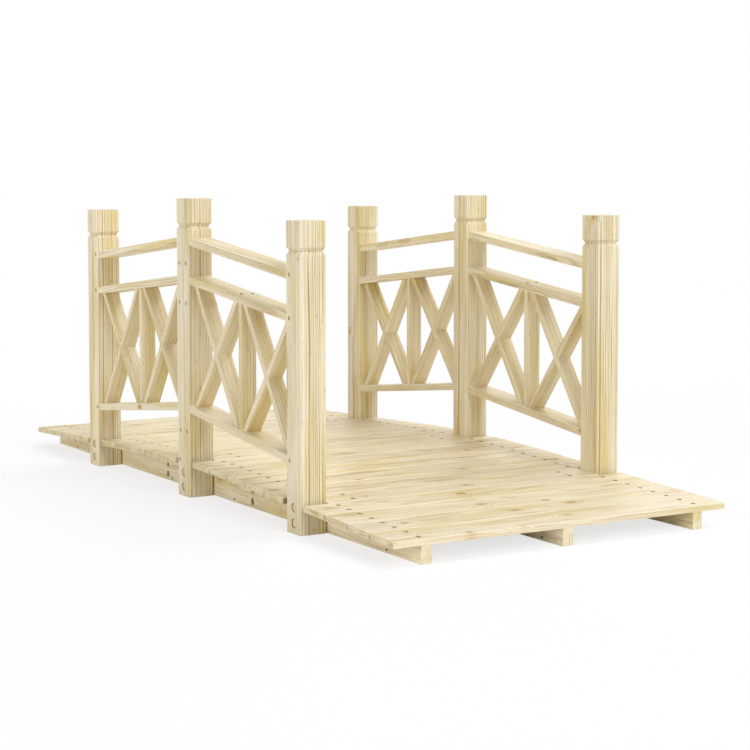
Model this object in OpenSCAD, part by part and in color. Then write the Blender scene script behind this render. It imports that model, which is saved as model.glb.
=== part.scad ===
// Small arched garden footbridge in planed softwood.
// X runs along the walkway, Y across it and Z up; the origin is on the ground
// under the middle of the bridge. All sizes are in millimetres.

/* [Overall size] */
// Length of the walkway from end to end
bridge_length = 1501; // [1240:1:1900]
// Width over the outer faces of the posts
bridge_width = 671; // [520:1:900]
// Height of the middle posts above the ground
bridge_height = 559; // [450:1:720]

/* [Posts] */
// Side of the square posts
post_size = 49; // [36:1:60]
// Distance between neighbouring posts, centre to centre
post_spacing = 430; // [340:1:520]
// How much lower the end posts are than the middle posts
end_post_drop = 30; // [0:1:60]
// Radius on the four upright edges of a post
post_edge_radius = 1; // [0.5:0.5:8]
// Height of the plain head above the middle of its groove
head_height = 51; // [30:1:60]
// Height of the V-groove under the head
groove_height = 13; // [6:1:20]
// Depth of the V-groove
groove_depth = 4; // [2:0.5:8]

/* [Stringers] */
// Thickness of each of the three lengthwise boards
stringer_thickness = 21; // [15:1:30]
// Height of the stringers at the two ends of the bridge
stringer_end_height = 30; // [20:1:50]
// Height of the stringers in the middle of the bridge
stringer_crown_height = 58; // [40:1:80]
// Half the length of the rounded crown between the straight slopes
crown_half_length = 200; // [60:1:400]

/* [Deck] */
// Number of boards from end to end
board_count = 21; // [15:1:25]
// Thickness of the deck boards
board_thickness = 11; // [9:0.5:18]
// Open joint between neighbouring boards
board_gap = 1; // [0.4:0.1:4]
// Chamfer on the upper long edges of a board
board_chamfer = 1; // [0.4:0.1:2]
// Clearance between a short board's end and the post beside it
post_clearance = 0.5; // [0.2:0.1:3]

/* [Rails] */
// Width of the rails across the bridge
rail_width = 45; // [30:1:60]
// Thickness of the rails
rail_thickness = 14; // [10:1:20]
// Fall of every rail from the middle post to an end post
rail_fall = 48; // [0:1:80]
// From the top of a middle post down to the top rail's upper face
top_rail_below_top = 70; // [64:1:110]
// Clear height between the top rail and the middle rail
upper_gap = 58; // [30:1:80]
// Underside of the bottom rail above the ground at a middle post
bottom_rail_height = 162; // [140:1:190]

/* [Lattice] */
// Thickness of the slats and of the upright between two crosses
slat_thickness = 11; // [8:0.5:15]
// Width of the slats across the bridge
slat_width = 30; // [18:1:45]
// Space left between a cross and the upright beside it
slat_clearance = 4; // [1:0.5:8]

/* [Fixings] */
// Diameter of the plug recess over each post bolt
plug_diameter = 16; // [10:1:20]
// Depth of the plug recess
plug_depth = 5; // [2:0.5:10]
// Height of the lower post bolt above the ground
lower_bolt_height = 18; // [12:1:22]
// Height of the upper post bolt above the ground
upper_bolt_height = 45; // [38:1:60]
// Diameter of the plugged recess over each lower bolt of the outer stringers
lower_recess_diameter = 13; // [8:0.5:14]
// Diameter of the recess over each upper bolt of the outer stringers
upper_recess_diameter = 9; // [6:0.5:14]
// Depth of the bolt recesses in the outer stringers
stringer_recess_depth = 6; // [3:0.5:10]
// Distance of the recess pairs from the middle of the bridge
stringer_recess_offset = 181; // [100:1:300]
// Height of the lower recess of a pair above the ground
lower_recess_height = 12; // [8:0.5:14]
// Height of the upper recess of a pair above the ground
upper_recess_height = 31; // [28:0.5:33]

/* [Hidden] */
SIDES = ["left", "right"];
BAYS = ["far", "near"];
PLACES = ["far", "middle", "near"];
RAILS = ["top", "middle", "bottom"];

half_length = bridge_length / 2;
post_line = bridge_width / 2 - post_size / 2;
post_inner_face = bridge_width / 2 - post_size;
outer_stringer_line = post_inner_face - stringer_thickness / 2;
long_board = bridge_width;
short_board = 2 * (post_inner_face - post_clearance);

// Slope of the straight part of the walkway on each side of the crown
ramp_slope = (stringer_crown_height - stringer_end_height) / (half_length - crown_half_length / 2);

// The end boards lean outwards on the slope, so on a steep one the deck starts further in
deck_inset = max(0, (board_thickness - board_chamfer) * ramp_slope - board_gap / 2);
board_pitch = (bridge_length - 2 * deck_inset) / board_count;
rail_slope = rail_fall / post_spacing;
rail_upright_thickness = rail_thickness * sqrt(1 + rail_slope * rail_slope);

// Undersides of the rails where they would meet the middle of the bridge
top_rail_height = bridge_height - top_rail_below_top - rail_upright_thickness;
middle_rail_height = top_rail_height - upper_gap - rail_upright_thickness;

// Limits of a bay between the facing sides of its two posts
bay_start = post_size / 2;
bay_end = post_spacing - post_size / 2;
bay_middle = (bay_start + bay_end) / 2;

// Faces that a cut passes through by this much
overcut = 1;

function board_name(index) = str("deck_board_", index < 10 ? "0" : "", index);
function side_sign(side) = side == "left" ? -1 : 1;
function place_sign(place) = place == "far" ? -1 : place == "near" ? 1 : 0;
function post_height(place) = bridge_height - (place == "middle" ? 0 : end_post_drop);

// Height of the stringers' upper edge: a rounded crown that runs into straight slopes
function bearing(x) =
    abs(x) < crown_half_length
        ? stringer_crown_height - ramp_slope * x * x / (2 * crown_half_length)
        : stringer_crown_height - ramp_slope * (abs(x) - crown_half_length / 2);

function seam(index) = -half_length + deck_inset + index * board_pitch;
function seam_point(index) = [seam(index), bearing(seam(index))];

function rail_height(rail) =
    rail == "top" ? top_rail_height : rail == "middle" ? middle_rail_height : bottom_rail_height;

// Underside of a rail at a distance x from the middle post
function rail_underside(rail, x) = rail_height(rail) - rail_slope * x;
function rail_topside(rail, x) = rail_underside(rail, x) + rail_upright_thickness;

// A board is short where it would run into a post
function meets_post(index) =
    len([for (place = PLACES)
        if (abs((seam(index - 1) + seam(index)) / 2 - place_sign(place) * post_spacing)
            < (board_pitch + post_size) / 2) place]) > 0;

// Level width of a slat that leans over the given run and rise
function level_width(run, rise) =
    let (t2 = slat_thickness * slat_thickness, a = rise * rise - t2)
    (sqrt(run * run * t2 * t2 + a * t2 * (run * run + rise * rise)) - run * t2) / a;

// Turns an outline drawn in X and Z into a solid across the bridge
module across(width) {
    rotate([90, 0, 0])
        linear_extrude(height = width, center = true)
            children();
}

module post_section() {
    inner = post_size - 2 * post_edge_radius;
    square([post_size, inner], center = true);
    square([inner, post_size], center = true);
    for (x = [-1, 1])
        for (y = [-1, 1])
            translate([x * inner / 2, y * inner / 2])
                circle(r = post_edge_radius, $fn = 48);
}

module head_groove() {
    reach = post_size / 2;
    half = groove_height / 2;
    // The outline of the cut starts outside the post on the same two slopes
    flare = half * (groove_depth + overcut) / groove_depth;
    for (turn = [0 : 90 : 270])
        rotate([0, 0, turn])
            across(post_size + 2 * overcut)
                polygon([
                    [reach - groove_depth, 0],
                    [reach + overcut, flare],
                    [reach + overcut, -flare]
                ]);
}

module post(side, place) {
    outward = side_sign(side);
    height = post_height(place);
    color("wheat")
        translate([place_sign(place) * post_spacing, outward * post_line, 0])
            difference() {
                linear_extrude(height = height)
                    post_section();
                translate([0, 0, height - head_height])
                    head_groove();
                for (level = [lower_bolt_height, upper_bolt_height])
                    translate([0, outward * (post_size / 2 + overcut), level])
                        rotate([outward * 90, 0, 0])
                            cylinder(h = plug_depth + overcut, d = plug_diameter, $fn = 48);
            }
}

module stringer_board() {
    across(stringer_thickness)
        polygon(concat(
            [[-half_length, 0], [-half_length, stringer_end_height]],
            [for (index = [1 : board_count - 1]) seam_point(index)],
            [[half_length, stringer_end_height], [half_length, 0]]
        ));
}

// Bored into the outer face of an outer stringer
module bolt_recess(outward, x, level, diameter) {
    translate([x, outward * (stringer_thickness / 2 + overcut), level])
        rotate([outward * 90, 0, 0])
            cylinder(h = stringer_recess_depth + overcut, d = diameter, $fn = 48);
}

module outer_stringer(side) {
    outward = side_sign(side);
    color("burlywood")
        translate([0, outward * outer_stringer_line, 0])
            difference() {
                stringer_board();
                for (x = [-stringer_recess_offset, stringer_recess_offset]) {
                    bolt_recess(outward, x, lower_recess_height, lower_recess_diameter);
                    bolt_recess(outward, x, upper_recess_height, upper_recess_diameter);
                }
            }
}

module middle_stringer() {
    color("burlywood")
        stringer_board();
}

// Each board lies flat on the stringers between two seams
module deck_board(index) {
    from = seam_point(index - 1);
    to = seam_point(index);
    run = to - from;
    half = norm(run) / 2 - board_gap / 2;
    top = board_thickness;
    color("navajowhite")
        translate([(from[0] + to[0]) / 2, 0, (from[1] + to[1]) / 2])
            rotate([0, -atan2(run[1], run[0]), 0])
                across(meets_post(index) ? short_board : long_board)
                    polygon([
                        [-half, 0],
                        [half, 0],
                        [half, top - board_chamfer],
                        [half - board_chamfer, top],
                        [-half + board_chamfer, top],
                        [-half, top - board_chamfer]
                    ]);
}

// The bays beyond the middle posts are mirror images of the near ones
module in_bay(side, bay) {
    translate([0, side_sign(side) * post_line, 0])
        mirror([bay == "far" ? 1 : 0, 0, 0])
            children();
}

module rail(side, name, bay) {
    color("wheat")
        in_bay(side, bay)
            across(rail_width)
                polygon([
                    [bay_start, rail_underside(name, bay_start)],
                    [bay_end, rail_underside(name, bay_end)],
                    [bay_end, rail_topside(name, bay_end)],
                    [bay_start, rail_topside(name, bay_start)]
                ]);
}

// Space between the bottom rail and the middle rail
module panel_outline(from, to) {
    polygon([
        [from, rail_topside("bottom", from)],
        [to, rail_topside("bottom", to)],
        [to, rail_underside("middle", to)],
        [from, rail_underside("middle", from)]
    ]);
}

// A slat whose edges start in the corners foot and head, run past at both ends
module leaning_slat(foot, head) {
    lean = head[0] > foot[0] ? 1 : -1;
    run = abs(head[0] - foot[0]);
    rise = head[1] - foot[1];
    level = level_width(run, rise);
    past = [lean * (run - level), rise] * (rail_thickness / rise);
    low = foot - past;
    high = head + past;
    polygon([
        low,
        low + [lean * level, 0],
        high,
        high - [lean * level, 0]
    ]);
}

// The slats are cut off along both rails only, so the outline is wider than the cross
module crossed_slats(from, to) {
    intersection() {
        panel_outline(from - slat_thickness, to + slat_thickness);
        union() {
            leaning_slat(
                [from, rail_topside("bottom", from)],
                [to, rail_underside("middle", to)]
            );
            leaning_slat(
                [to, rail_topside("bottom", to)],
                [from, rail_underside("middle", from)]
            );
        }
    }
}

module lattice(side, bay) {
    upright_start = bay_middle - slat_thickness / 2;
    upright_end = bay_middle + slat_thickness / 2;
    color("wheat")
        in_bay(side, bay)
            across(slat_width) {
                panel_outline(upright_start, upright_end);
                crossed_slats(bay_start + slat_clearance, upright_start - slat_clearance);
                crossed_slats(upright_end + slat_clearance, bay_end - slat_clearance);
            }
}

for (side = SIDES)
    for (place = PLACES)
        post(side, place);

outer_stringer("left");  // left_stringer
middle_stringer();
outer_stringer("right");  // right_stringer

for (side = SIDES)
    for (name = RAILS)
        for (bay = BAYS)
            rail(side, name, bay);

for (side = SIDES)
    for (bay = BAYS)
        lattice(side, bay);

for (index = [1 : board_count])
    deck_board(index);
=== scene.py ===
# Small arched garden footbridge in planed pine: grooved posts, sloping rails, crossed slats,
# crowned stringers, deck boards, and the screws, bolts and plugs that hold them.
# Lengths are in metres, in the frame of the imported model, unless a note says otherwise.
import functools
import math
import random

import bpy
from mathutils import Matrix, Vector


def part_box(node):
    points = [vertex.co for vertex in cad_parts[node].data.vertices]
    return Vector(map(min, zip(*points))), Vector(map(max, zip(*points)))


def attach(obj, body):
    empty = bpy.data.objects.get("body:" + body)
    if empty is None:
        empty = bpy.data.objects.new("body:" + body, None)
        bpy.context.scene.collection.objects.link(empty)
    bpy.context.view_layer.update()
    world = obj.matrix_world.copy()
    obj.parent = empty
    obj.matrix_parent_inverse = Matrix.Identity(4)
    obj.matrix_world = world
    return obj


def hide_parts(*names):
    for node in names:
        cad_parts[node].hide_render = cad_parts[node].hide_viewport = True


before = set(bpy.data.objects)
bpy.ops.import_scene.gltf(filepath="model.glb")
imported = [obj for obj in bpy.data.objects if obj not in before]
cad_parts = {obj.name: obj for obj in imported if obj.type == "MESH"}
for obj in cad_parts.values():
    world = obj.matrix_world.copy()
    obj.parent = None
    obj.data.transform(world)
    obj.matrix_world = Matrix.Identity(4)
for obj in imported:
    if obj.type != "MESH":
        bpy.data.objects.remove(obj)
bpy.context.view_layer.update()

bpy.ops.object.select_all(action="DESELECT")  # the CAD nodes come in selected
dice = random.Random(41)
sides = {"left": -1, "right": 1}
bays = {"far": -1, "near": 1}
places = {"far": -1, "middle": 0, "near": 1}
hair = 0.0001  # points closer than this count as being in the same place
mostly = 0.9   # a direction whose share along an axis is over this runs along it
hardly = 0.1   # and one whose share is under this runs across it
squarely = 0.98  # a face that looks along a direction by more than this stands square to it
noTurn = Matrix.Identity(4)
halfTurn = Matrix.Rotation(math.pi, 4, "Z")


# Selecting and shaping

def setMode(mode):
    bpy.ops.object.mode_set(mode=mode)


def discard(*pieces):
    for piece in pieces:
        bpy.data.objects.remove(piece)


def selectOnly(piece):
    bpy.ops.object.select_all(action="DESELECT")
    piece.select_set(True)
    bpy.context.view_layer.objects.active = piece


def pick(piece, what, test):
    # leaves the piece in edit mode with only those points, edges or faces selected that pass the test
    selectOnly(piece)
    setMode("EDIT")
    bpy.ops.mesh.select_mode(type=what)
    bpy.ops.mesh.select_all(action="DESELECT")
    setMode("OBJECT")
    mesh = piece.data
    if what == "VERT":
        for vertex in mesh.vertices:
            vertex.select = test(vertex.co)
    elif what == "EDGE":
        for edge in mesh.edges:
            start, end = (mesh.vertices[i].co for i in edge.vertices)
            edge.select = test((start + end) / 2, (end - start).normalized())
    else:
        for face in mesh.polygons:
            face.select = test(face.center, face.normal)
    setMode("EDIT")


def easeEdges(piece, radius, steps, test):
    pick(piece, "EDGE", test)
    bpy.ops.mesh.bevel(offset=radius, segments=steps, affect="EDGES")
    setMode("OBJECT")


def shift(piece, way, test):
    # moves the points that pass the test
    pick(piece, "VERT", test)
    bpy.ops.transform.translate(value=way)
    setMode("OBJECT")


def sawnBlock(name, low, high):
    # a squared blank between two corners, which the caller then shapes
    low, high = Vector(low), Vector(high)
    bpy.ops.mesh.primitive_cube_add(size=1, location=(low + high) / 2, scale=high - low)
    piece = bpy.context.object
    piece.name = name
    bpy.ops.object.transform_apply()
    return piece


def turnedBlank(name, diameter, low, high, corners, easedEdge=0, steps=2):
    # a round blank between two heights, with its upper rim eased
    bpy.ops.mesh.primitive_cylinder_add(
        vertices=corners, radius=diameter / 2, depth=high - low, location=(0, 0, (low + high) / 2))
    piece = bpy.context.object
    piece.name = name
    bpy.ops.object.transform_apply()
    if easedEdge:
        easeEdges(piece, easedEdge, steps, lambda middle, way: abs(way.z) < hardly and middle.z > high - hair)
    return piece


def cutAcross(piece, point, normal, dropOuter=False):
    # one straight saw cut through the piece; dropOuter takes off what lies beyond it and closes the end
    pick(piece, "VERT", lambda point: True)
    bpy.ops.mesh.bisect(plane_co=point, plane_no=normal, use_fill=dropOuter, clear_outer=dropOuter)
    setMode("OBJECT")


def joined(pieces, name):
    bpy.ops.object.select_all(action="DESELECT")
    for piece in pieces:
        piece.select_set(True)
    bpy.context.view_layer.objects.active = pieces[0]
    if len(pieces) > 1:
        bpy.ops.object.join()
    whole = bpy.context.object
    whole.name = name
    return whole


def takeAway(piece, cutter):
    selectOnly(piece)
    cut = piece.modifiers.new("cut", "BOOLEAN")
    cut.operation = "DIFFERENCE"
    cut.solver = "EXACT"
    cut.object = cutter
    bpy.ops.object.modifier_apply(modifier="cut")
    discard(cutter)


def drill(piece, holes):
    # each hole has its place, the way into the wood, its width at the mouth and at the floor, and its depth
    above, corners = 0.001, 32  # the bit starts this far outside the wood and is this round
    bits = []
    for hole in holes:
        flare = (hole["mouth"] - hole["floor"]) / 2 / hole["depth"]
        bpy.ops.mesh.primitive_cone_add(
            vertices=corners,
            radius1=hole["mouth"] / 2 + flare * above,
            radius2=hole["floor"] / 2,
            depth=hole["depth"] + above,
            location=hole["at"] + hole["into"] * (hole["depth"] - above) / 2,
            rotation=hole["into"].to_track_quat("Z", "Y").to_euler(),
        )
        bits.append(bpy.context.object)
    cutter = joined(bits, "bits")
    bpy.ops.object.transform_apply()
    takeAway(piece, cutter)


def moveTo(piece, matrix):
    # turns and moves a piece, with that in its points
    selectOnly(piece)
    piece.matrix_world = matrix
    bpy.ops.object.transform_apply()


def placedCopy(source, name, turn, place):
    # a copy with a mesh of its own
    copy = source.copy()
    copy.data = source.data.copy()
    copy.name = name
    bpy.context.scene.collection.objects.link(copy)
    moveTo(copy, Matrix.Translation(place) @ turn)
    return copy


def smoothEdges(piece, sharpest=40):
    # eased edges shade round, planed faces stay flat, and edges of more degrees than sharpest stay crisp
    selectOnly(piece)
    bpy.ops.object.shade_smooth_by_angle(angle=math.radians(sharpest))
    weigh = piece.modifiers.new("weigh", "WEIGHTED_NORMAL")
    weigh.keep_sharp = True
    bpy.ops.object.modifier_apply(modifier="weigh")


def writeMark(mesh, name, values, domain="FACE", kind="FLOAT"):
    # one value for every face or point, which the materials read
    field = "vector" if kind == "FLOAT_VECTOR" else "value"
    mesh.attributes.new(name, kind, domain).data.foreach_set(field, values)


grain = {
    "skew": (0.2, 0.45),       # radians that the rings lean; no piece is sawn quite square to them
    "longestLog": 40000,       # mm, so that no two pieces come from the same stretch of log
    "endSlope": 0.7,           # faces that look along the grain more than this are sawn ends
    "slashSlope": 0.8,         # and those that look towards the pith more than this lie along the rings
    "arrisWidth": 0.0015,      # eased edges are narrower than this
    "arrisSlope": (0.1, 0.985),
}


def layGrain(piece, along, heart, heartDistance, centre=None, skew=grain["skew"]):
    # Writes where every point lies in the log that the piece was sawn from, in millimetres: x runs with the
    # grain, and y and z start at the pith, which lay off the piece towards heart, heartDistance away. Also
    # marks sawn ends, faces sawn along the rings (slash) and eased edges.
    mesh = piece.data
    along, heart = Vector(along).normalized(), Vector(heart)
    heart = (heart - along * heart.dot(along)).normalized()
    square = (along, heart, along.cross(heart))
    heart = Matrix.Rotation(dice.uniform(*skew) * dice.choice((-1, 1)), 3, along) @ heart
    third = along.cross(heart)
    if centre is None:
        centre = sum((Vector(c) for c in piece.bound_box), Vector()) / 8
    distance = dice.uniform(*heartDistance)
    stretch = dice.uniform(0, grain["longestLog"])
    log, tone = [], dice.random()
    for vertex in mesh.vertices:
        local = (vertex.co - centre) * 1000
        log += (local.dot(along) + stretch, local.dot(heart) - distance, local.dot(third))
    writeMark(mesh, "log", log, "POINT", "FLOAT_VECTOR")
    writeMark(mesh, "tone", [tone] * len(mesh.vertices), "POINT")
    least, most = grain["arrisSlope"]
    sawnEnd, slash, arris = [], [], []
    for face in mesh.polygons:
        slope = [abs(face.normal.dot(axis)) for axis in square]
        narrowest = min((mesh.vertices[a].co - mesh.vertices[b].co).length for a, b in face.edge_keys)
        sawnEnd.append(float(slope[0] > grain["endSlope"]))
        slash.append(float(slope[1] > grain["slashSlope"]))
        arris.append(float(narrowest < grain["arrisWidth"] and least < max(slope) < most))
    writeMark(mesh, "sawnEnd", sawnEnd)
    writeMark(mesh, "slash", slash)
    writeMark(mesh, "arris", arris)


def markPaintedShade(piece, share):
    # painted shade on each face, from 0 where there is none to 1 on the most shaded walls of joints and bores
    writeMark(piece.data, "paintedShade", [float(share(face.center, face.normal)) for face in piece.data.polygons])


def fit(piece, material, slotName, *cadNodes):
    # hands a finished piece over: material, body and the CAD nodes it stands for; slotName is not used
    piece.data.materials.clear()
    piece.data.materials.append(material)
    piece.data.name = piece.name
    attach(piece, "root")
    if cadNodes:
        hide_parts(*cadNodes)


# Materials

def linear(hexColour):
    channels = [int(hexColour[i:i + 2], 16) / 255 for i in (0, 2, 4)]
    return [c / 12.92 if c <= 0.04045 else ((c + 0.055) / 1.055) ** 2.4 for c in channels] + [1.0]


def addNode(tree, kind, inputs=(), output=0, **settings):
    # One node with its operation, if it has one, and settings. Its inputs are named or in the order of the
    # sockets (in a MapRange the value, the range it comes from and the range it goes to). Each is a number, a
    # colour or another node's output. Gives back one of its outputs, or the node where output is None.
    kind, *operation = kind.split()
    node = tree.nodes.new("ShaderNode" + kind)
    if operation:
        node.operation = operation[0]
    for name, value in settings.items():
        setattr(node, name, value)
    named = inputs if isinstance(inputs, dict) else dict(enumerate(inputs))
    for socket, value in named.items():
        if isinstance(value, bpy.types.NodeSocket):
            tree.links.new(value, node.inputs[socket])
        else:
            node.inputs[socket].default_value = value
    return node if output is None else node.outputs[output]


def emptyTree(owner):
    # empties the nodes of a material or world and gives back what adds new ones there
    owner.use_nodes = True
    owner.node_tree.nodes.clear()
    return functools.partial(addNode, owner.node_tree)


def newMaterial(name):
    material = bpy.data.materials.new(name)
    return material, emptyTree(material)


def grainNoise(add, place, along, across, detail, output="Fac", **more):
    # noise drawn out along the grain; its size along and across it is in mm
    drawnOut = add("VectorMath MULTIPLY", (place, (1 / along, 1 / across, 1 / across)))
    return add("TexNoise", {"Vector": drawnOut, "Scale": 1, "Detail": detail, **more}, output)


def nearestSpot(add, place, spacing, reach, randomness):
    # how far the nearest of some loosely spaced spots is, and the colour that stands for its luck
    space = add("VectorMath MULTIPLY", (place, [1 / step for step in spacing]))
    cells = add("TexVoronoi", {"Vector": space, "Scale": 1, "Randomness": randomness}, None)
    offset = add("VectorMath SUBTRACT", (cells.outputs["Position"], space))
    drawnOut = add("VectorMath MULTIPLY", (offset, reach))
    distance = add("VectorMath LENGTH", (drawnOut,), "Value")
    return distance, add("SeparateColor", (cells.outputs["Color"],), None).outputs


# Planed pine: sawn from the log and run through a planer. Pale early wood with crisp darker late-wood lines,
# straight where the saw met the rings square and opening into arches where it met them flat; good and bad
# years, fine fibres, a few honey-coloured knots with the rings bent round them, and a dry, slightly silky
# surface. Lengths are in millimetres.
pineLook = {
    "early": "F5EBCF",
    "late": "AC9A66",
    "lateWarm": "BBA268",   # some years end in a more orange line
    "blush": "F5E8D6",      # pinkish clouds
    "straw": "EFE7BE",      # yellow and greenish clouds
    "deep": "F9F2DE",       # dark streaks are also yellower
    "canal": "A57C4A",      # short dark resin lines
    "halo": "EED49C",       # resin in the wood round a knot
    "knot": "CDA468",
    "knotRim": "BC955C",
    "pinKnot": "7C5A36",
    "sawnEnd": "E2CC9E",
    "edgeWearAndHighlight": "FAF1DA",
    "paintedShadeColour": "765A28",  # painted shade for the walls of joints and bores, the groove's crease and deep-set plugs
    "ringWidth": 4.2,       # from one late-wood line to the next
    "ringSway": 9.0,        # how far good and bad years shift the lines
    "ringContrast": 0.9,
    "slashSoftness": 0.5,   # how far the figure fades on faces sawn along the rings, at the same mean colour
    "endContrast": 0.85,    # on sawn ends
    "strayLength": 420,
    "strayWidth": 130,
    "wander": 14,           # how far the pith may stray over that length
    "waverLength": 170,     # along the grain from one waver of a ring to the next
    "waverWidth": 30,
    "waver": 3.0,           # how far the rings may move there
    "knotAlong": 190,       # from one place for a knot to the next
    "knotAcross": 70,
    "knotReach": 400,       # towards the pith
    "knotShare": 0.15,      # share of the places for a knot that have one
    "knotRadius": 6.5,
    "pinSpacing": (95, 42, 42),
    "pinReach": (55, 42, 42),
    "pinRadius": 3.2,
    "streakLength": 420,
    "streakWidth": 3.4,
    "streakContrast": 0.3,
    "cloudLength": 300,
    "cloudWidth": 26,
    "canalLength": 17,
    "canalWidth": 1.5,
    "fibreLength": 85,
    "fibreWidth": 1.6,      # coarser than real fibres so that they show in the picture
    "fibreContrast": 0.2,
    "toneContrast": 0.06,   # from one piece to the next
    "arrisShare": 0.35,     # how far eased edges go towards bare white wood: partly wear, partly a painted highlight where they catch light
    "paintedShadeShare": 0.75,     # how far faces with the most painted shade go towards that brown
    "roughness": 0.56,
}


def planedPine(name, **changes):
    look = {**pineLook, **changes}
    tints = {part: linear(value) for part, value in look.items() if isinstance(value, str)}
    material, add = newMaterial(name)
    log = add("Attribute", output="Vector", attribute_name="log")
    tone, sawnEnd, slash, arris, paintedShade = (add("Attribute", output="Fac", attribute_name=mark)
                                          for mark in ("tone", "sawnEnd", "slash", "arris", "paintedShade"))

    # the pith strays slowly along the log and the rings waver, which opens them into arches on flat faces;
    # across a sawn end they stay even
    steadiness = add("MapRange", (sawnEnd, 0, 1, 1, 0.1))
    shifted = [log]
    for length, width, detail, amount in (
            (look["strayLength"], look["strayWidth"], 2, look["wander"]),
            (look["waverLength"], look["waverWidth"], 3, look["waver"])):
        noise = grainNoise(add, log, length, width, detail, "Color")
        steadied = add("VectorMath SCALE", {0: noise, "Scale": steadiness})
        shifted.append(add("VectorMath MULTIPLY_ADD", (steadied, (0, amount, amount), shifted[-1])))
    strayed, grown = shifted[1:]

    # Only some of the places for a knot have one. A branch runs outwards from the pith, so a knot reaches far
    # towards the heart, and it is longer along the grain than across it.
    along, across = look["knotAlong"], look["knotAcross"]
    distance, luck = nearestSpot(add, strayed, (along, look["knotReach"], across),
                                 (along * 0.6, across * 0.06, across), 0.7)
    chosen = add("Math GREATER_THAN", (luck[0], 1 - look["knotShare"]))
    thickness = add("MapRange", (luck[1], 0, 1, look["knotRadius"] * 0.4, look["knotRadius"]))
    radius = add("Math MULTIPLY", (chosen, thickness))
    divisor = add("Math ADD", (radius, 0.01))  # never nought
    ratio = add("Math DIVIDE", (distance, divisor))
    ragged = add("TexNoise", {"Vector": log, "Scale": 0.25, "Detail": 3}, "Fac")
    raggedRatio = add("Math MULTIPLY_ADD", (ragged, 0.5, ratio))
    knotCore = add("MapRange", (raggedRatio, 1.25, 0.95), interpolation_type="SMOOTHSTEP")
    knotHeart = add("MapRange", (raggedRatio, 0.62, 0.4, 0, 0.8))
    knotHalo = add("MapRange", (ratio, 2.4, 0.9, 0, 0.45), interpolation_type="SMOOTHSTEP")
    bulge = add("MapRange", (ratio, 4.5, 0, 0, 1.9), interpolation_type="SMOOTHERSTEP")
    pushed = add("Math MULTIPLY", (bulge, radius))

    # growth rings round the pith: each year has its own width, and its late wood its own strength and warmth
    flat = add("VectorMath MULTIPLY", (grown, (0, 1, 1)))
    fromPith = add("VectorMath LENGTH", (flat,), "Value")
    years = add("TexNoise", {"W": fromPith, "Scale": 0.08, "Detail": 1}, "Fac", noise_dimensions="1D")
    grownOut = add("Math MULTIPLY_ADD", (years, look["ringSway"], fromPith))
    bent = add("Math ADD", (grownOut, pushed))
    ring = add("Math DIVIDE", (bent, look["ringWidth"]))
    season = add("Math FRACT", (ring,))
    year = add("Math FLOOR", (ring,))
    fortune = add("TexWhiteNoise", {"W": year}, None, noise_dimensions="1D").outputs
    darkening = add("MapRange", (season, 0.3, 0.84), interpolation_type="SMOOTHERSTEP")
    winter = add("MapRange", (season, 1, 0.9))
    lateWood = add("Math MULTIPLY", (darkening, winter))
    yearStrength = add("MapRange", (fortune["Value"], 0, 1, 0.3, 0.95))

    # streaks that run with the grain, from single fibres to hand-wide clouds of colour
    fibre = grainNoise(add, log, look["fibreLength"], look["fibreWidth"], 3, Roughness=0.6)
    streak = grainNoise(add, grown, look["streakLength"], look["streakWidth"], 3)
    cloud = grainNoise(add, grown, look["cloudLength"], look["cloudWidth"], 2, "Color")
    clouds = add("SeparateColor", (cloud,), None).outputs
    canalNoise = grainNoise(add, log, look["canalLength"], look["canalWidth"], 1)
    canal = add("MapRange", (canalNoise, 0.68, 0.76, 0, 0.6))

    # pin knots: small dark ones, wherever a second set of places is lucky
    pinDistance, pinLuck = nearestSpot(add, strayed, look["pinSpacing"], look["pinReach"], 1)
    pinRadius = add("MapRange", (pinLuck[1], 0.82, 1, 0, look["pinRadius"]))
    pinDepth = add("Math SUBTRACT", (pinRadius, pinDistance))
    pinKnot = add("MapRange", (pinDepth, -0.4, 0.8, 0, 0.75))

    # early and late wood: the lines are calm in some stretches, and soft on faces sawn along the rings
    calm = add("MapRange", (clouds[2], 0.4, 0.6, 0.3, 1.3))
    strength = add("Math MULTIPLY", (yearStrength, calm))
    softness = add("Math MULTIPLY", (slash, look["slashSoftness"]))
    softened = add("Mix", {0: softness, 2: lateWood, 3: 0.38})  # towards the mean of late wood
    contrast = add("MapRange", (sawnEnd, 0, 1, look["ringContrast"], look["endContrast"]))
    shown = add("Math MULTIPLY", (strength, contrast))
    lateShare = add("Math MULTIPLY", (softened, shown))
    warmth = add("SeparateColor", (fortune["Color"],), 1)
    late = add("Mix", {0: warmth, 6: tints["late"], 7: tints["lateWarm"]}, 2, data_type="RGBA")
    colour = add("Mix", {0: lateShare, 6: tints["early"], 7: late}, 2, data_type="RGBA")
    for channel, tint, most in ((0, "blush", 0.45), (1, "straw", 0.9)):
        share = add("MapRange", (clouds[channel], 0.48, 0.68, 0, most))
        colour = add("Mix", {0: share, 6: colour, 7: tints[tint]}, 2, data_type="RGBA",
                     blend_type="MULTIPLY")

    # the level is 1 where the streak, the fibre and the piece's own tone are all at their middle
    level = 1 - (look["streakContrast"] + look["fibreContrast"] + look["toneContrast"]) / 2
    for part, partContrast in ((streak, look["streakContrast"]), (fibre, look["fibreContrast"]),
                               (tone, look["toneContrast"])):
        level = add("Math MULTIPLY_ADD", (part, partContrast, level))
    evenness = add("Math MULTIPLY", (sawnEnd, 0.75))
    level = add("Mix", {0: evenness, 2: level, 3: 1})
    colour = add("VectorMath SCALE", {0: colour, "Scale": level})
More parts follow.
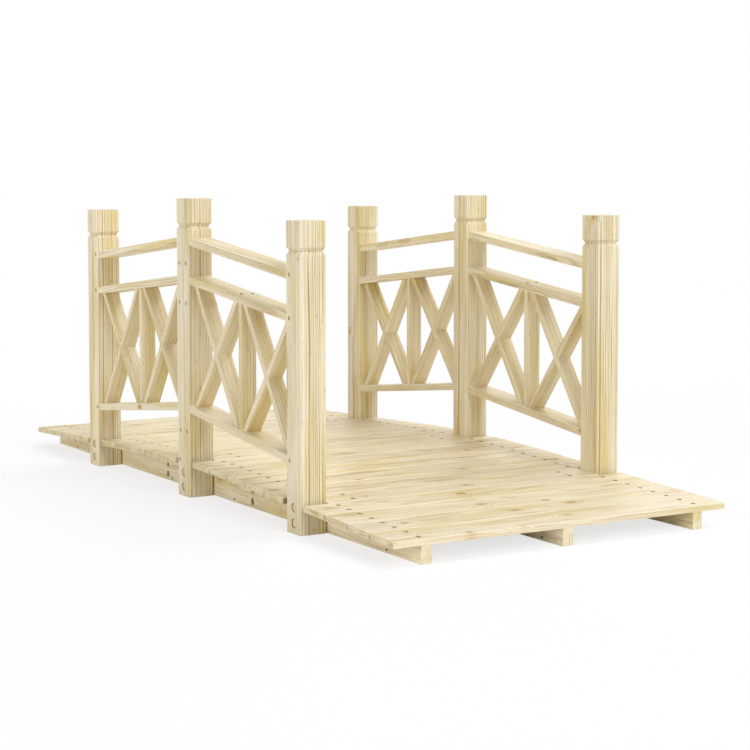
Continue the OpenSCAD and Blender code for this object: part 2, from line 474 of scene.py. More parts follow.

    # what lies over that, from dark streaks to the painted shade on the walls of joints
    deep = add("MapRange", (level, 1, 0.8))
    endShare = add("Math MULTIPLY", (sawnEnd, 0.05))
    # eased edges lightened: partly wear, partly a painted highlight
    edgeWearAndHighlightShare = add("Math MULTIPLY", (arris, look["arrisShare"]))
    paintedShadeShare = add("Math MULTIPLY", (paintedShade, look["paintedShadeShare"]))
    for share, tint, blend in (
            (deep, "deep", "MULTIPLY"),
            (canal, "canal", "MIX"),
            (knotHalo, "halo", "MULTIPLY"),
            (knotCore, "knotRim", "MIX"),
            (knotHeart, "knot", "MIX"),
            (pinKnot, "pinKnot", "MIX"),
            (endShare, "sawnEnd", "MULTIPLY"),
            (edgeWearAndHighlightShare, "edgeWearAndHighlight", "MIX"),
            (paintedShadeShare, "paintedShadeColour", "MIX")):
        colour = add("Mix", {0: share, 6: colour, 7: tints[tint]}, 2, data_type="RGBA", blend_type=blend)

    # late wood is harder, so it stands a little proud and shines a little more
    ridge = add("Math MULTIPLY_ADD", (fibre, 0.8, lateWood))
    relief = add("Math MULTIPLY_ADD", (canal, -1.2, ridge))
    bump = add("Bump", {"Height": relief, "Strength": 0.35, "Distance": 0.00012})
    dull, silky = look["roughness"] + 0.04, look["roughness"] - 0.06
    gloss = add("MapRange", (lateWood, 0, 1, dull, silky))
    roughness = add("Math MULTIPLY_ADD", (sawnEnd, 0.25, gloss))
    shader = add("BsdfPrincipled",
                 {"Base Color": colour, "Roughness": roughness, "Normal": bump, "IOR": 1.45})
    add("OutputMaterial", {"Surface": shader}, None)
    return material


def darkenedSteel(name, dark, scuffed):
    # Screws, bolts and nails in hardened steel, passivated dark brown or grey: a dull metal with a few
    # bright scuffs where the driver turned in it.
    material, add = newMaterial(name)
    place = add("TexCoord", output="Object")
    scuff = add("TexNoise", {"Vector": place, "Scale": 900, "Detail": 3}, "Fac")
    worn = add("MapRange", (scuff, 0.52, 0.7, 0, 0.6))
    colour = add("Mix", {0: worn, 6: linear(dark), 7: linear(scuffed)}, 2, data_type="RGBA")
    roughness = add("MapRange", (scuff, 0.3, 0.7, 0.8, 0.6))
    bump = add("Bump", {"Height": scuff, "Strength": 0.2, "Distance": 0.00005})
    shader = add("BsdfPrincipled", {"Base Color": colour, "Metallic": 0.1, "Roughness": roughness,
                                    "Specular IOR Level": 0, "Normal": bump})
    add("OutputMaterial", {"Surface": shader}, None)
    return material


# each kind of piece has the look above with a few changes
postPine = planedPine(
    "planedPinePosts", early="F7EED5", ringWidth=3.6, ringContrast=0.96, slashSoftness=0.4, wander=8,
    waverLength=220, waver=2.4, streakLength=900, streakWidth=2.6, streakContrast=0.36, knotShare=0.06,
    pinKnot="B39A66")
railPine = planedPine(
    "planedPineRails", ringWidth=2.6, ringContrast=0.8, slashSoftness=0.25, wander=18, waverLength=110,
    waver=5, streakLength=260, knotShare=0.08)
slatPine = planedPine(
    "planedPineSlats", early="F5EACB", ringWidth=3, wander=8, waverLength=160, waver=2.4, knotShare=0.3)
deckPine = planedPine(
    "planedPineDeck", early="F0E5CA", ringWidth=3.4, ringContrast=0.6, slashSoftness=0.1, wander=20,
    waverLength=120, waver=6, streakLength=70, streakWidth=2.8, streakContrast=0.45, cloudLength=180,
    fibreWidth=1.8, knot="C6A870", knotRim="B8985C", knotAlong=110, knotAcross=80, knotShare=0.3,
    knotRadius=8, arrisShare=0.55)
stringerPine = planedPine(
    "planedPineStringers", ringWidth=3.2, wander=22, waverLength=80, waver=5, streakLength=90,
    streakWidth=3, streakContrast=0.5, knotShare=0.3)
plugPine = planedPine("turnedPinePlugs", early="E9DBB8", blush="F5EBD6")
screwSteel = darkenedSteel("darkPassivatedSteel", "2A1C04", "6E5828")
railingSteel = darkenedSteel("greyPassivatedSteel", "8A7442", "BCAA78")
print("materials made")


# What the frame says

def nodeOutline(name):
    # the corners of a node's profile, seen from the side
    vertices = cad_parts[name].data.vertices
    return sorted({(round(v.co.x, 5), round(v.co.z, 5)) for v in vertices})


def centreOf(name):
    low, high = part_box(name)
    return (low + high) / 2


postLow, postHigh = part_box("left_post_middle")
postSide = postHigh.x - postLow.x
postLine = abs(centreOf("left_post_middle").y)
postSpacing = centreOf("left_post_near").x
postHalfWidth = -postLow.y  # half the width over the posts' outer faces


# Posts

post = {
    "edgeRadius": 0.001,
    "easedEnd": 0.0008,
    "grooveBelowTop": 0.051,
    "grooveHeight": 0.013,
    "grooveDepth": 0.004,
    "easedGroove": 0.0005,
    "pith": (45, 90),     # mm from the piece's middle, here and below
    "plugHole": 0.016,
    "plugHoleDepth": 0.005,
    "plugHeights": (0.018, 0.045),
    # painted shade in the groove: in its crease and on its upper slope, which faces down
    "creaseShade": 0.6,
    "slopeShade": 0.16,
    "slopeFacing": -0.2,  # the groove's upper slope looks further down than this
}
screw = {
    "deckHead": 0.0086,
    "railingHead": 0.0066,
    "dentRim": 0.0006,    # how far the dent round a head reaches past it
    "dentDepth": 0.0008,
    "dentPlay": 0.0003,   # how much wider its floor is than the head
    "below": 0.0003,      # how far the head lies under the surface
    "proud": 0.0007,      # how far the heads on the middle rails stand above it
    "apart": 0.022,       # between the two heads there
    "easedEdge": 0.0003,
    "slotShare": 0.62,    # length of the slot's arms in head diameters
    "slotWidth": 0.0011,
    "slotDepth": 0.001,
    "slotTaper": 0.6,
    "thickness": 0.0016,
    "corners": 20,
}
# heads on the outer face of a post: distance from its middle towards the middle of the bridge, and height
endPostScrews = [(0.015, 0.438), (0.015, 0.3645), (0.015, 0.123)]
middlePostScrews = [(-0.014, 0.4385), (0.014, 0.4385), (-0.014, 0.365), (0.014, 0.365),
                    (-0.014, 0.1235), (0.014, 0.1235), (0.018, 0.068)]


def screwDent(at, into, head):
    return {"at": Vector(at), "into": Vector(into), "mouth": head + 2 * screw["dentRim"],
            "floor": head + screw["dentPlay"], "depth": screw["dentDepth"]}


def shapePost(name, height, screws):
    # stands on the origin with its outer face towards -Y and the middle of the bridge towards -X
    half = postSide / 2
    piece = sawnBlock(name, (-half, -half, 0), (half, half, height))
    easeEdges(piece, post["edgeRadius"], 3, lambda middle, way: abs(way.z) > mostly)
    easeEdges(piece, post["easedEnd"], 2, lambda middle, way: abs(way.z) < hardly
              and (middle.z < hair or middle.z > height - hair))
    groove = height - post["grooveBelowTop"]
    lip = post["grooveHeight"] / 2
    for level in (groove - lip, groove + lip, groove):
        cutAcross(piece, (0, 0, level), (0, 0, 1))
    narrowed = 1 - post["grooveDepth"] / half
    pick(piece, "VERT", lambda point: abs(point.z - groove) < hair)
    bpy.ops.transform.resize(value=(narrowed, narrowed, 1), center_override=(0, 0, groove))
    setMode("OBJECT")
    easeEdges(piece, post["easedGroove"], 2, lambda middle, way: abs(way.z) < hardly
              and any(abs(middle.z - level) < hair for level in (groove - lip, groove, groove + lip)))
    inwards = Vector((0, 1, 0))
    holes = [{"at": Vector((0, -half, level)), "into": inwards, "mouth": post["plugHole"],
              "floor": post["plugHole"], "depth": post["plugHoleDepth"]} for level in post["plugHeights"]]
    holes += [screwDent((-aside, -half, level), inwards, screw["railingHead"]) for aside, level in screws]
    drill(piece, holes)
    return piece


def postPaintedShade(middle, normal, postX, height):
    # painted shade: most in the plug bores, less in the groove's crease, and a little on its upper slope,
    # which faces down
    if middle.z < post["plugHeights"][-1] + post["plugHole"]:
        aside = abs(middle.x - postX) < post["plugHole"] / 2 + hair
        deep = hair < postHalfWidth - abs(middle.y) < post["plugHoleDepth"] + hair
        return aside and deep and middle.z > hair
    aboveCrease = middle.z - (height - post["grooveBelowTop"])
    if abs(aboveCrease) < post["easedGroove"] + hair:
        return post["creaseShade"]
    onSlope = normal.z < post["slopeFacing"] and aboveCrease < post["grooveHeight"] / 2
    return post["slopeShade"] if onSlope else 0


patternMiddle = shapePost("middlePostPattern", postHigh.z, middlePostScrews)
patternEnd = shapePost("endPostPattern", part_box("left_post_near")[1].z, endPostScrews)
for side, outward in sides.items():
    for place, sign in places.items():
        source = patternMiddle if place == "middle" else patternEnd
        spot = Vector((sign * postSpacing, outward * postLine, 0))
        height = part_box(f"{side}_post_{place}")[1].z
        piece = placedCopy(source, f"{side}Post{place.capitalize()}", noTurn, spot)
        if outward > 0 or sign < 0:
            # the patterns belong to the left side and the near end, so the others are mirrored
            scale = (-1 if sign < 0 else 1, -outward, 1)
            pick(piece, "VERT", lambda point: True)
            bpy.ops.transform.resize(value=scale, center_override=spot)
            bpy.ops.mesh.normals_make_consistent(inside=False)
            setMode("OBJECT")
        smoothEdges(piece)
        layGrain(piece, (0, 0, 1), (0, dice.choice((-1, 1)), 0), post["pith"])
        markPaintedShade(piece, lambda middle, normal: postPaintedShade(middle, normal, spot.x, height))
        fit(piece, postPine, "pine_post", f"{side}_post_{place}")
discard(patternMiddle, patternEnd)
print("posts made")


# Rails

rail = {"easedEdge": 0.0012, "pith": (30, 70)}


def railCorners(name):
    # the two ends along the bridge, and the heights of the lower left, upper left and lower right corner
    outline = nodeOutline(name)
    startX, endX = outline[0][0], outline[-1][0]
    startLow, startHigh = (z for x, z in outline if abs(x - startX) < hair)
    return startX, endX, startLow, startHigh, min(z for x, z in outline if abs(x - endX) < hair)


bayStart, bayEnd, startLow, startHigh, endLow = railCorners("left_top_rail_near")
bayMiddle = (bayStart + bayEnd) / 2
railLow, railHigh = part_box("left_top_rail_near")
# modelled at the left near top rail's place: a level blank whose outer end is pulled down to the slope
patternRail = sawnBlock("railPattern", (bayStart, railLow.y, startLow), (bayEnd, railHigh.y, startHigh))
shift(patternRail, (0, 0, endLow - startLow), lambda point: point.x > bayEnd - hair)
easeEdges(patternRail, rail["easedEdge"], 3, lambda middle, way: abs(way.x) > mostly)


def turnedTo(sign, low, high):
    # for a piece modelled between these corners at the near end: its turn and lowest corner at either end
    return (noTurn, low) if sign > 0 else (halfTurn, Vector((-high.x, -high.y, low.z)))


for side in sides:
    for level in ("top", "middle", "bottom"):
        for bay, sign in bays.items():
            turn, corner = turnedTo(sign, railLow, railHigh)
            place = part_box(f"{side}_{level}_rail_{bay}")[0] - corner
            piece = placedCopy(patternRail, f"{side}Rail{level.capitalize()}{bay.capitalize()}", turn, place)
            smoothEdges(piece)
            along = (bayEnd - bayStart, 0, sign * (endLow - startLow))
            layGrain(piece, along, (0, dice.choice((-1, 1)), 0), rail["pith"])
            fit(piece, railPine, "pine_rail", f"{side}_{level}_rail_{bay}")
discard(patternRail)
print("rails made")


# Lattice

lattice = {
    "thickness": 0.011,
    "width": 0.030,
    "clearance": 0.004,   # between the corners of a cross and the upright or post beside it
    "easedEdge": 0.0008,
    "lapGap": 0.0001,
    "notchReach": 0.05,   # how far the half-lap's cutter goes to either side along the other bar
    "notchPast": 0.002,   # and past the bar's edge
    "allowance": 0.03,    # how far a bar runs past each rail before it is trimmed
    "pith": (35, 80),
}


def railLine(name):
    # height of the rail's lower and upper face as functions of x, in the left near bay, and its slope
    startX, endX, startLow, startHigh, endLow = railCorners(name)
    slope = (endLow - startLow) / (endX - startX)
    return (lambda x: startLow + slope * (x - startX)), (lambda x: startHigh + slope * (x - startX)), slope


middleUnder, middleOver, railSlope = railLine("left_middle_rail_near")
_, bottomOver, _ = railLine("left_bottom_rail_near")
railUp = Vector((-railSlope, 0, 1)).normalized()


def trimToRails(piece):
    # saws the bar off along the bottom rail's upper face and the middle rail's lower face
    cutAcross(piece, (bayStart, 0, bottomOver(bayStart)), -railUp, dropOuter=True)
    cutAcross(piece, (bayStart, 0, middleUnder(bayStart)), railUp, dropOuter=True)


def easeBar(piece):
    easeEdges(piece, lattice["easedEdge"], 2, lambda middle, way: abs(way.z) > mostly)


def leaning(way):
    # turns an upright bar into this direction
    return Matrix.Rotation(math.atan2(way.x, way.z), 4, "Y")


def shapeSlat(name, foot, head):
    # a leaning bar, whose lower edge starts in the corner at its foot and upper edge ends in that at its head
    thickness, half = lattice["thickness"], lattice["width"] / 2
    run, rise = abs(head.x - foot.x), head.z - foot.z
    level, rounds = thickness, 12  # the bar's width on a level line, which a few rounds settle
    for _ in range(rounds):
        level = thickness * math.hypot(run - level, rise) / rise
    lean = 1 if head.x > foot.x else -1
    way = Vector((lean * (run - level), 0, rise)).normalized()
    middle = (foot + head) / 2 + Vector((0, -postLine, 0))
    length = (head - foot).length + 2 * lattice["allowance"]
    piece = sawnBlock(name, (-thickness / 2, -half, -length / 2), (thickness / 2, half, length / 2))
    easeBar(piece)
    moveTo(piece, Matrix.Translation(middle) @ leaning(way))
    trimToRails(piece)
    return piece, way


def halve(piece, otherWay, centre, outer):
    # cuts the half-lap for the other bar, from the outer or the inner edge to the middle
    wide = lattice["thickness"] / 2 + lattice["lapGap"]
    reach, edge = lattice["notchReach"], lattice["width"] / 2 + lattice["notchPast"]
    notch = sawnBlock("notch", (-wide, -edge if outer else 0, -reach), (wide, 0 if outer else edge, reach))
    moveTo(notch, Matrix.Translation(centre) @ leaning(otherWay))
    takeAway(piece, notch)


def shapeLattice():
    # the five bars of the left near panel, and which way each one's grain runs
    bars = []
    thickness, clearance = lattice["thickness"], lattice["clearance"]
    half = lattice["width"] / 2
    for index, (start, end) in enumerate([
            (bayStart + clearance, bayMiddle - thickness / 2 - clearance),
            (bayMiddle + thickness / 2 + clearance, bayEnd - clearance)]):
        startFoot, endFoot = (Vector((x, 0, bottomOver(x))) for x in (start, end))
        startHead, endHead = (Vector((x, 0, middleUnder(x))) for x in (start, end))
        rising, risingWay = shapeSlat(f"slat{index}a", startFoot, endHead)
        falling, fallingWay = shapeSlat(f"slat{index}b", endFoot, startHead)
        # each bar's centre line passes through the middle between its foot and its head
        onRising = (startFoot + endHead) / 2
        apart = (endFoot + startHead) / 2 - onRising
        along = (apart.x * fallingWay.z - apart.z * fallingWay.x) / (
            risingWay.x * fallingWay.z - risingWay.z * fallingWay.x)
        crossing = onRising + risingWay * along + Vector((0, -postLine, 0))
        halve(rising, fallingWay, crossing, outer=True)
        halve(falling, risingWay, crossing, outer=False)
        bars += [(rising, risingWay), (falling, fallingWay)]
    upright = sawnBlock(
        "upright",
        (bayMiddle - thickness / 2, -postLine - half, bottomOver(bayMiddle) - lattice["allowance"]),
        (bayMiddle + thickness / 2, -postLine + half, middleUnder(bayMiddle) + lattice["allowance"]))
    easeBar(upright)
    trimToRails(upright)
    bars.append((upright, Vector((0, 0, 1))))
    return bars


patternBars = shapeLattice()
for side in sides:
    for bay, sign in bays.items():
        turn, corner = turnedTo(sign, *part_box("left_lattice_near"))
        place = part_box(f"{side}_lattice_{bay}")[0] - corner
        bars = []
        for source, way in patternBars:
            bar = placedCopy(source, "bar", turn, place)
            smoothEdges(bar)
            layGrain(bar, turn @ way, (0, dice.choice((-1, 1)), 0), lattice["pith"])
            bars.append(bar)
        panel = joined(bars, f"{side}Lattice{bay.capitalize()}")
        fit(panel, slatPine, "pine_slat", f"{side}_lattice_{bay}")
discard(*(source for source, way in patternBars))
print("lattice made")


# Stringers

stringer = {
    "easedEdge": 0.001,
    "recessOffset": 0.181,    # of the recess pairs, from the middle of the bridge
    "recessDepth": 0.006,
    "setBack": 0.002,         # of the outer stringers' faces, which leaves a dark joint beside the posts
    "plugRecess": 0.013,
    "plugHeight": 0.012,
    "boltRecess": 0.009,
    "boltHeight": 0.031,
    "recessWallShade": 0.3,     # painted shade on the recesses' walls
    "grainHeight": 0.03,      # the height that the grain is laid round
    "pith": (30, 70),
}
recessSpots = (-stringer["recessOffset"], stringer["recessOffset"])
# where neighbouring boards meet
seams = [point for point in nodeOutline("middle_stringer") if point[1] > hair]


def shapeStringer(name):
    # modelled at the middle stringer's place: a level board, sawn up at the seams and raised to the crown
    low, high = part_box("middle_stringer")
    level = seams[0][1]
    piece = sawnBlock(name, (low.x, low.y, 0), (high.x, high.y, level))
    for x, z in seams[1:-1]:
        cutAcross(piece, (x, 0, 0), (1, 0, 0))
    for x, z in seams[1:-1]:
        shift(piece, (0, 0, z - level), lambda point: abs(point.x - x) < hair and point.z > level - hair)
    easeEdges(piece, stringer["easedEdge"], 2, lambda middle, way: abs(way.x) > mostly
              and abs(abs(middle.y) - high.y) < hair and (middle.z < hair or middle.z > level - hair))
    return piece


def recessPaintedShade(middle, normal, face):
    # painted shade in the recesses: some on their walls and the most on their floors, which lie in shade
    aside = abs(abs(middle.x) - stringer["recessOffset"]) < stringer["plugRecess"] / 2 + hair
    inWood = hair < abs(middle.y - face) < stringer["recessDepth"] + hair
    if not (aside and inWood and hair < middle.z < stringer["boltHeight"] + stringer["boltRecess"]):
        return 0
    return 1 if abs(normal.y) > mostly else stringer["recessWallShade"]


def stringerFace(name):
    # where the side face with the nails and recesses stands
    low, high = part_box(f"{name}_stringer")
    setBack = stringer["setBack"] if name in sides else 0
    return centreOf(f"{name}_stringer").y + sides.get(name, -1) * ((high.y - low.y) / 2 - setBack)


patternStringer = shapeStringer("stringerPattern")
for name in ("left", "middle", "right"):
    middleY = centreOf(f"{name}_stringer").y
    piece = placedCopy(patternStringer, f"{name}Stringer", noTurn, Vector((0, middleY, 0)))
    if name in sides:
        outward = sides[name]
        face = stringerFace(name)
        shift(piece, (0, -outward * stringer["setBack"], 0),
              lambda point: (point.y - face) * outward > -2 * stringer["easedEdge"])
        drill(piece, [{"at": Vector((x, face, level)), "into": Vector((0, -outward, 0)), "mouth": width,
                       "floor": width, "depth": stringer["recessDepth"]}
                      for x in recessSpots
                      for level, width in ((stringer["plugHeight"], stringer["plugRecess"]),
                                           (stringer["boltHeight"], stringer["boltRecess"]))])
    smoothEdges(piece)
    layGrain(piece, (1, 0, 0), (0, dice.choice((-1, 1)), 0), stringer["pith"],
             centre=Vector((0, middleY, stringer["grainHeight"])))
    markPaintedShade(piece, lambda middle, normal: recessPaintedShade(middle, normal, stringerFace(name)))
    fit(piece, stringerPine, "pine_stringer", f"{name}_stringer")
discard(patternStringer)
print("stringers made")


# Deck

levelLow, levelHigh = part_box("deck_board_11")  # this board lies level
deck = {
    "thickness": levelHigh.z - levelLow.z,
    "gap": 0.0018,
    "easedEdge": 0.0016,
    "easedEnd": 0.0008,
    "screwFromEnd": 0.056,
    "screwFromMiddle": 0.0179,
    "unshadedWalls": ("deck_board_04", "deck_board_10"),  # their walls get no painted shade, as they show beside the far and middle posts
    "unshadedEnds": 0.004,      # walls nearer than this to the bridge's ends get no painted shade
    "pith": (120, 240),
    "skew": (0, 0.06),       # radians that the rings may lean
}


def boardSpots(halfLength):
    # where the four screws of a board go, on its upper face
    return [Vector((x, y, deck["thickness"]))
            for y in (-halfLength + deck["screwFromEnd"], halfLength - deck["screwFromEnd"])
            for x in (-deck["screwFromMiddle"], deck["screwFromMiddle"])]


def shapeBoard(name, halfLength, halfWidth):
    # lies level on the origin, with its length across the bridge
    piece = sawnBlock(name, (-halfWidth, -halfLength, 0), (halfWidth, halfLength, deck["thickness"]))
    easeEdges(piece, deck["easedEdge"], 3, lambda middle, way: abs(way.y) > mostly and middle.z > hair)
    easeEdges(piece, deck["easedEnd"], 2, lambda middle, way: abs(middle.y) > halfLength - hair
              and abs(way.x) > mostly)
    drill(piece, [screwDent(spot, (0, 0, -1), screw["deckHead"]) for spot in boardSpots(halfLength)])
    return piece


boardPatterns = {}
screwSeats = []  # place and outward direction of every screw head
for index in range(len(seams) - 1):
    name = f"deck_board_{index + 1:02d}"
    low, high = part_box(name)
    halfLength = round((high.y - low.y) / 2, 5)
    start, end = (Vector((x, 0, z)) for x, z in seams[index:index + 2])
    way = end - start
    halfWidth = (way.length - deck["gap"]) / 2
    if halfLength not in boardPatterns:
        boardPatterns[halfLength] = shapeBoard(f"boardPattern{len(boardPatterns)}", halfLength, halfWidth)
    turn = Matrix.Rotation(-math.atan2(way.z, way.x), 4, "Y")
    spot = (start + end) / 2
    piece = placedCopy(boardPatterns[halfLength], f"deckBoard{index + 1:02d}", turn, spot)
    smoothEdges(piece)
    layGrain(piece, (0, 1, 0), (0, 0, dice.choice((-1, 1))), deck["pith"], skew=deck["skew"])
    slope = turn.to_3x3()
    wall = slope @ Vector((1, 0, 0))
    shadedUpTo = seams[-1][0] - deck["unshadedEnds"]
    # painted shade on the walls in the joints between boards
    if name not in deck["unshadedWalls"]:
        markPaintedShade(piece, lambda middle, normal: abs(normal.dot(wall)) > squarely
                  and abs(middle.x) < shadedUpTo)
    fit(piece, deckPine, "pine_deck", name)
    for seat in boardSpots(halfLength):
        screwSeats.append((spot + slope @ seat, slope @ Vector((0, 0, 1))))
discard(*boardPatterns.values())
print("deck made")


# Screws, bolts and plugs

def shapeScrew(name, size):
    # the head of a countersunk screw with a cross slot, facing up, its rim on the origin's level
    head = turnedBlank(name, size, -screw["thickness"], 0, screw["corners"], screw["easedEdge"], 1)
    narrow, long = screw["slotWidth"] / 2, size * screw["slotShare"] / 2
    above = 0.0004  # the slot's cutter reaches this far out of the head
    slot = sawnBlock("slot", (-narrow, -narrow, -screw["slotDepth"]), (narrow, narrow, above))
    for way in ((1, 0, 0), (-1, 0, 0), (0, 1, 0), (0, -1, 0)):
        pick(slot, "FACE", lambda middle, normal: normal.dot(Vector(way)) > mostly)
        bpy.ops.mesh.extrude_region_move(TRANSFORM_OT_translate={"value": Vector(way) * (long - narrow)})
        setMode("OBJECT")
    pick(slot, "VERT", lambda point: point.z < -screw["slotDepth"] + hair)
    bpy.ops.transform.resize(value=(screw["slotTaper"], screw["slotTaper"], 1), center_override=(0, 0, 0))
    setMode("OBJECT")
    takeAway(head, slot)
    return head


def facing(out):
    # turns what faces up to face this way
    return out.to_track_quat("Z", "Y").to_matrix().to_4x4()


def seatAll(source, seats, name, sink, steel):
    # one copy on each seat, facing out of it, turned by chance as a driver leaves it
    copies = []
    for at, out in seats:
        spin = Matrix.Rotation(dice.uniform(0, math.pi / 2), 4, "Z")
        copies.append(placedCopy(source, "copy", facing(out) @ spin, at - out * sink))
    heads = joined(copies, name)
    smoothEdges(heads)
    fit(heads, steel, "screw_steel")


patternScrew = shapeScrew("deckScrewPattern", screw["deckHead"])
seatAll(patternScrew, screwSeats, "deckScrews", screw["below"], screwSteel)
discard(patternScrew)

patternScrew = shapeScrew("railingScrewPattern", screw["railingHead"])
for side, outward in sides.items():
    face = outward * (postLine + postSide / 2)
    out = Vector((0, outward, 0))
    seats = []
    for place, sign in places.items():
        for inwards, level in (middlePostScrews if place == "middle" else endPostScrews):
            x = sign * (postSpacing - inwards) if sign else -inwards
            seats.append((Vector((x, face, level)), out))
    # two screws through each middle rail into the upright under it
    onRail = middleOver(bayMiddle) + screw["below"] + screw["proud"]
    for sign in bays.values():
        up = Vector((-railSlope * sign, 0, 1)).normalized()
        for aside in (-screw["apart"] / 2, screw["apart"] / 2):
            seats.append((Vector((sign * bayMiddle, outward * postLine + aside, onRail)), up))
    seatAll(patternScrew, seats, f"{side}RailingScrews", screw["below"], railingSteel)
discard(patternScrew)

plug = {
    "play": 0.0022,          # how much narrower a plug is than its hole
    "easedEdge": 0.0004,
    "corners": 36,
    "rim": 0.003,            # the middle of the end inside this rim stands a little higher
    "raised": 0.0002,
    "pith": (20, 60),
    "belowPost": 0.0008,     # how far the plugs lie under the face round them
    "belowStringer": 0.0036,
    "stringerPlugShade": 0.7,    # how much painted shade those deep ones get
}
bolt = {
    "diameter": 0.0082,
    "thickness": 0.0024,
    "easedEdge": 0.0006,
    "corners": 24,
    "below": 0.0034,
    "socket": 0.004,
    "socketDepth": 0.0014,
    "socketCorners": 6,
}


def shapePlug(name, diameter, length):
    # a short dowel with eased edges, facing up
    piece = turnedBlank(name, diameter, -length, 0, plug["corners"], plug["easedEdge"])
    pick(piece, "FACE", lambda middle, normal: normal.z > squarely)
    bpy.ops.mesh.inset(thickness=plug["rim"])
    bpy.ops.transform.translate(value=(0, 0, plug["raised"]))
    setMode("OBJECT")
    return piece


def shapeBolt(name):
    # the head of a socket bolt, facing up: a rounded rim and a six-sided socket sunk in the middle
    head = turnedBlank(name, bolt["diameter"], -bolt["thickness"], 0, bolt["corners"], bolt["easedEdge"])
    depth = bolt["socketDepth"]
    takeAway(head, turnedBlank("socket", bolt["socket"], -depth, depth, bolt["socketCorners"]))
    return head


def setPlugs(name, holes, diameter, depth, below, shadeShare=0):
    # one plug in each hole, given by its mouth and the way out of it, each with grain of its own
    pattern = shapePlug("plugPattern", diameter - plug["play"], depth - below)
    plugs = []
    for mouth, out in holes:
        one = placedCopy(pattern, "plug", facing(out), mouth - out * below)
        smoothEdges(one)
        layGrain(one, (0, 0, 1), out, plug["pith"])
        # painted shade, so that deep-set plugs look shaded in their holes
        markPaintedShade(one, lambda middle, normal: shadeShare)
        plugs.append(one)
    discard(pattern)
    fit(joined(plugs, name), plugPine, "pine_plug")


for side, outward in sides.items():
    out = Vector((0, outward, 0))
    postFace = outward * (postLine + postSide / 2)
    holes = [(Vector((sign * postSpacing, postFace, level)), out)
             for sign in places.values() for level in post["plugHeights"]]
    setPlugs(f"{side}PostPlugs", holes, post["plugHole"], post["plugHoleDepth"], plug["belowPost"])
    holes = [(Vector((x, stringerFace(side), stringer["plugHeight"])), out) for x in recessSpots]
    setPlugs(f"{side}StringerPlugs", holes, stringer["plugRecess"], stringer["recessDepth"],
             plug["belowStringer"], plug["stringerPlugShade"])
    patternBolt = shapeBolt("boltPattern")
    seats = [(Vector((x, stringerFace(side), stringer["boltHeight"])), out) for x in recessSpots]
    seatAll(patternBolt, seats, f"{side}StringerBolts", bolt["below"], screwSteel)
    discard(patternBolt)

nail = {
    "head": 0.0040,
    "height": 0.0006,
    "easedEdge": 0.00042,
    "corners": 16,
    "heightOnStringer": 0.006,                # of the nails over the ground
    "along": (-0.647, -0.162, 0.108, 0.647),  # on the outer stringers
    "alongMiddle": (0.693,),
}
# a flat nail head with a rounded rim, facing up, its foot just inside the wood
patternNail = turnedBlank("nailPattern", nail["head"], -nail["height"], nail["height"], nail["corners"],
                          nail["easedEdge"])
for name in ("left", "middle", "right"):
    out = Vector((0, sides.get(name, -1), 0))
    spots = nail["alongMiddle"] if name == "middle" else nail["along"]
    seats = [(Vector((x, stringerFace(name), nail["heightOnStringer"])), out) for x in spots]
    seatAll(patternNail, seats, f"{name}StringerNails", 0, screwSteel)
discard(patternNail)
print("screws, plugs and nails made")


# Studio

studio = {
    "worldLevel": 0.26,
    "worldColour": "FFFAEC",  # the fill light only; the backdrop itself is white
    "lampSpread": 35,         # degrees, so that shadows are soft
    "lamps": {                # where each comes from, round from +X and up, in degrees, and its W/m2
        "keyLight": {"round": 0, "up": 35, "level": 1.48},
        "topLight": {"round": 90, "up": 60, "level": 1.12},
        "sideLight": {"round": -82, "up": 7, "level": 1.15},
        "backLight": {"round": 135, "up": 12, "level": 0.54},
    },
    "floorColour": "FAFAFA",
    "floorSeen": "95959B",    # what the camera sees of the floor's own light, over floorWhite
    "floorWhite": 0.72,       # what it always sees, so that the floor is as pale as the backdrop
    "floorSize": 60,
    "floorDrop": 0.0003,      # how far the floor lies under the feet
}


def seenDirectly(add):
    # 1 where the surface is seen, straight, mirrored or through glass, and 0 where it only gives light
    path = add("LightPath", output=None).outputs
    seen = add("Math MAXIMUM", (path["Is Camera Ray"], path["Is Glossy Ray"]))
    return add("Math MAXIMUM", (seen, path["Is Transmission Ray"]))


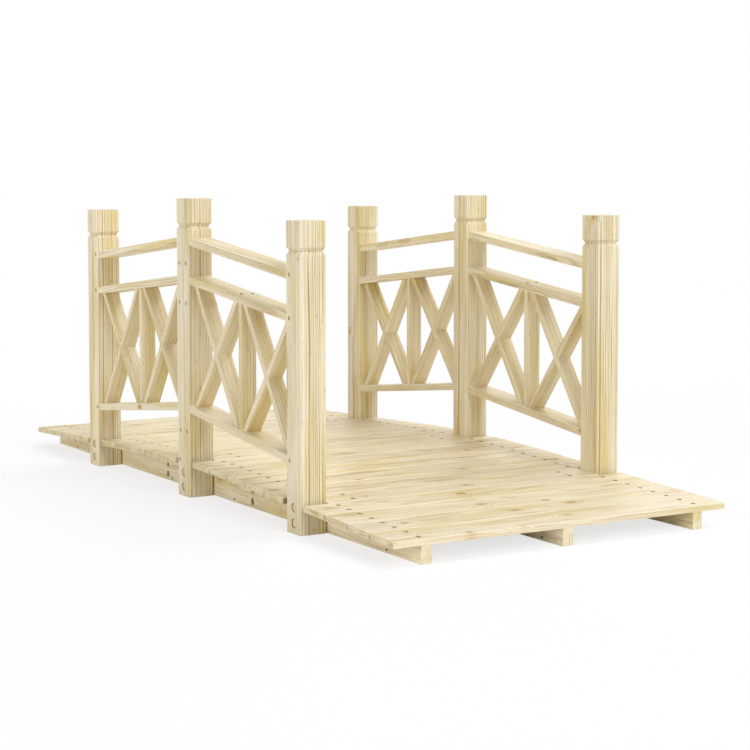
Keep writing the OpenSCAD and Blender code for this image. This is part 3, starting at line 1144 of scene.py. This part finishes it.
def paleFloor():
    # Matt white studio floor, rolled out smooth: plain white to the eye, with the object's pale soft shadow
    material, add = newMaterial("mattWhiteFloor")
    plain = add("BsdfDiffuse", {"Color": linear(studio["floorColour"])})
    seen = add("BsdfDiffuse", {"Color": linear(studio["floorSeen"])})
    white = add("Emission", {"Color": (1, 1, 1, 1), "Strength": studio["floorWhite"]})
    pale = add("AddShader", (seen, white))
    shader = add("MixShader", (seenDirectly(add), plain, pale))
    add("OutputMaterial", {"Surface": shader}, None)
    bpy.ops.mesh.primitive_plane_add(size=studio["floorSize"], location=(0, 0, -studio["floorDrop"]))
    floor = bpy.context.object
    floor.name = "studioFloor"
    floor.data.materials.append(material)


def pointBack(data, around, up):
    # a lamp or camera that points back from this direction, in degrees round from +X and up
    around, up = math.radians(around), math.radians(up)
    way = Vector((math.cos(around) * math.cos(up), math.sin(around) * math.cos(up), math.sin(up)))
    thing = bpy.data.objects.new(data.name, data)
    thing.rotation_euler = way.to_track_quat("Z", "Y").to_euler()
    bpy.context.scene.collection.objects.link(thing)
    return thing


def studioLight():
    world = bpy.data.worlds.new("studioWorld")
    bpy.context.scene.world = world
    add = emptyTree(world)
    seen = seenDirectly(add)
    level = add("MapRange", (seen, 0, 1, studio["worldLevel"], 1))
    colour = add("Mix", {0: seen, 6: linear(studio["worldColour"]), 7: (1, 1, 1, 1)}, 2, data_type="RGBA")
    sky = add("Background", {"Color": colour, "Strength": level})
    add("OutputWorld", {"Surface": sky}, None)
    for name, setting in studio["lamps"].items():
        data = bpy.data.lights.new(name, "SUN")
        data.energy = setting["level"]
        data.angle = math.radians(studio["lampSpread"])
        pointBack(data, setting["round"], setting["up"])


def photoCamera():
    view = {
        "lens": 91.24,
        "sensor": 36,
        "place": (3.2163, -1.8560, 0.6252),
        "round": -31.095,  # degrees, as for the lamps
        "up": 4.581,
        "shiftY": -0.08,   # the photo's frame sits a little below the optical axis
        "clip": (0.05, 200),
    }
    data = bpy.data.cameras.new("photoCamera")
    data.lens, data.sensor_width, data.shift_y = view["lens"], view["sensor"], view["shiftY"]
    data.clip_start, data.clip_end = view["clip"]
    camera = pointBack(data, view["round"], view["up"])
    camera.location = view["place"]
    bpy.context.scene.camera = camera


paleFloor()
studioLight()
photoCamera()
bpy.context.scene.view_settings.view_transform = "Standard"
print("studio made")
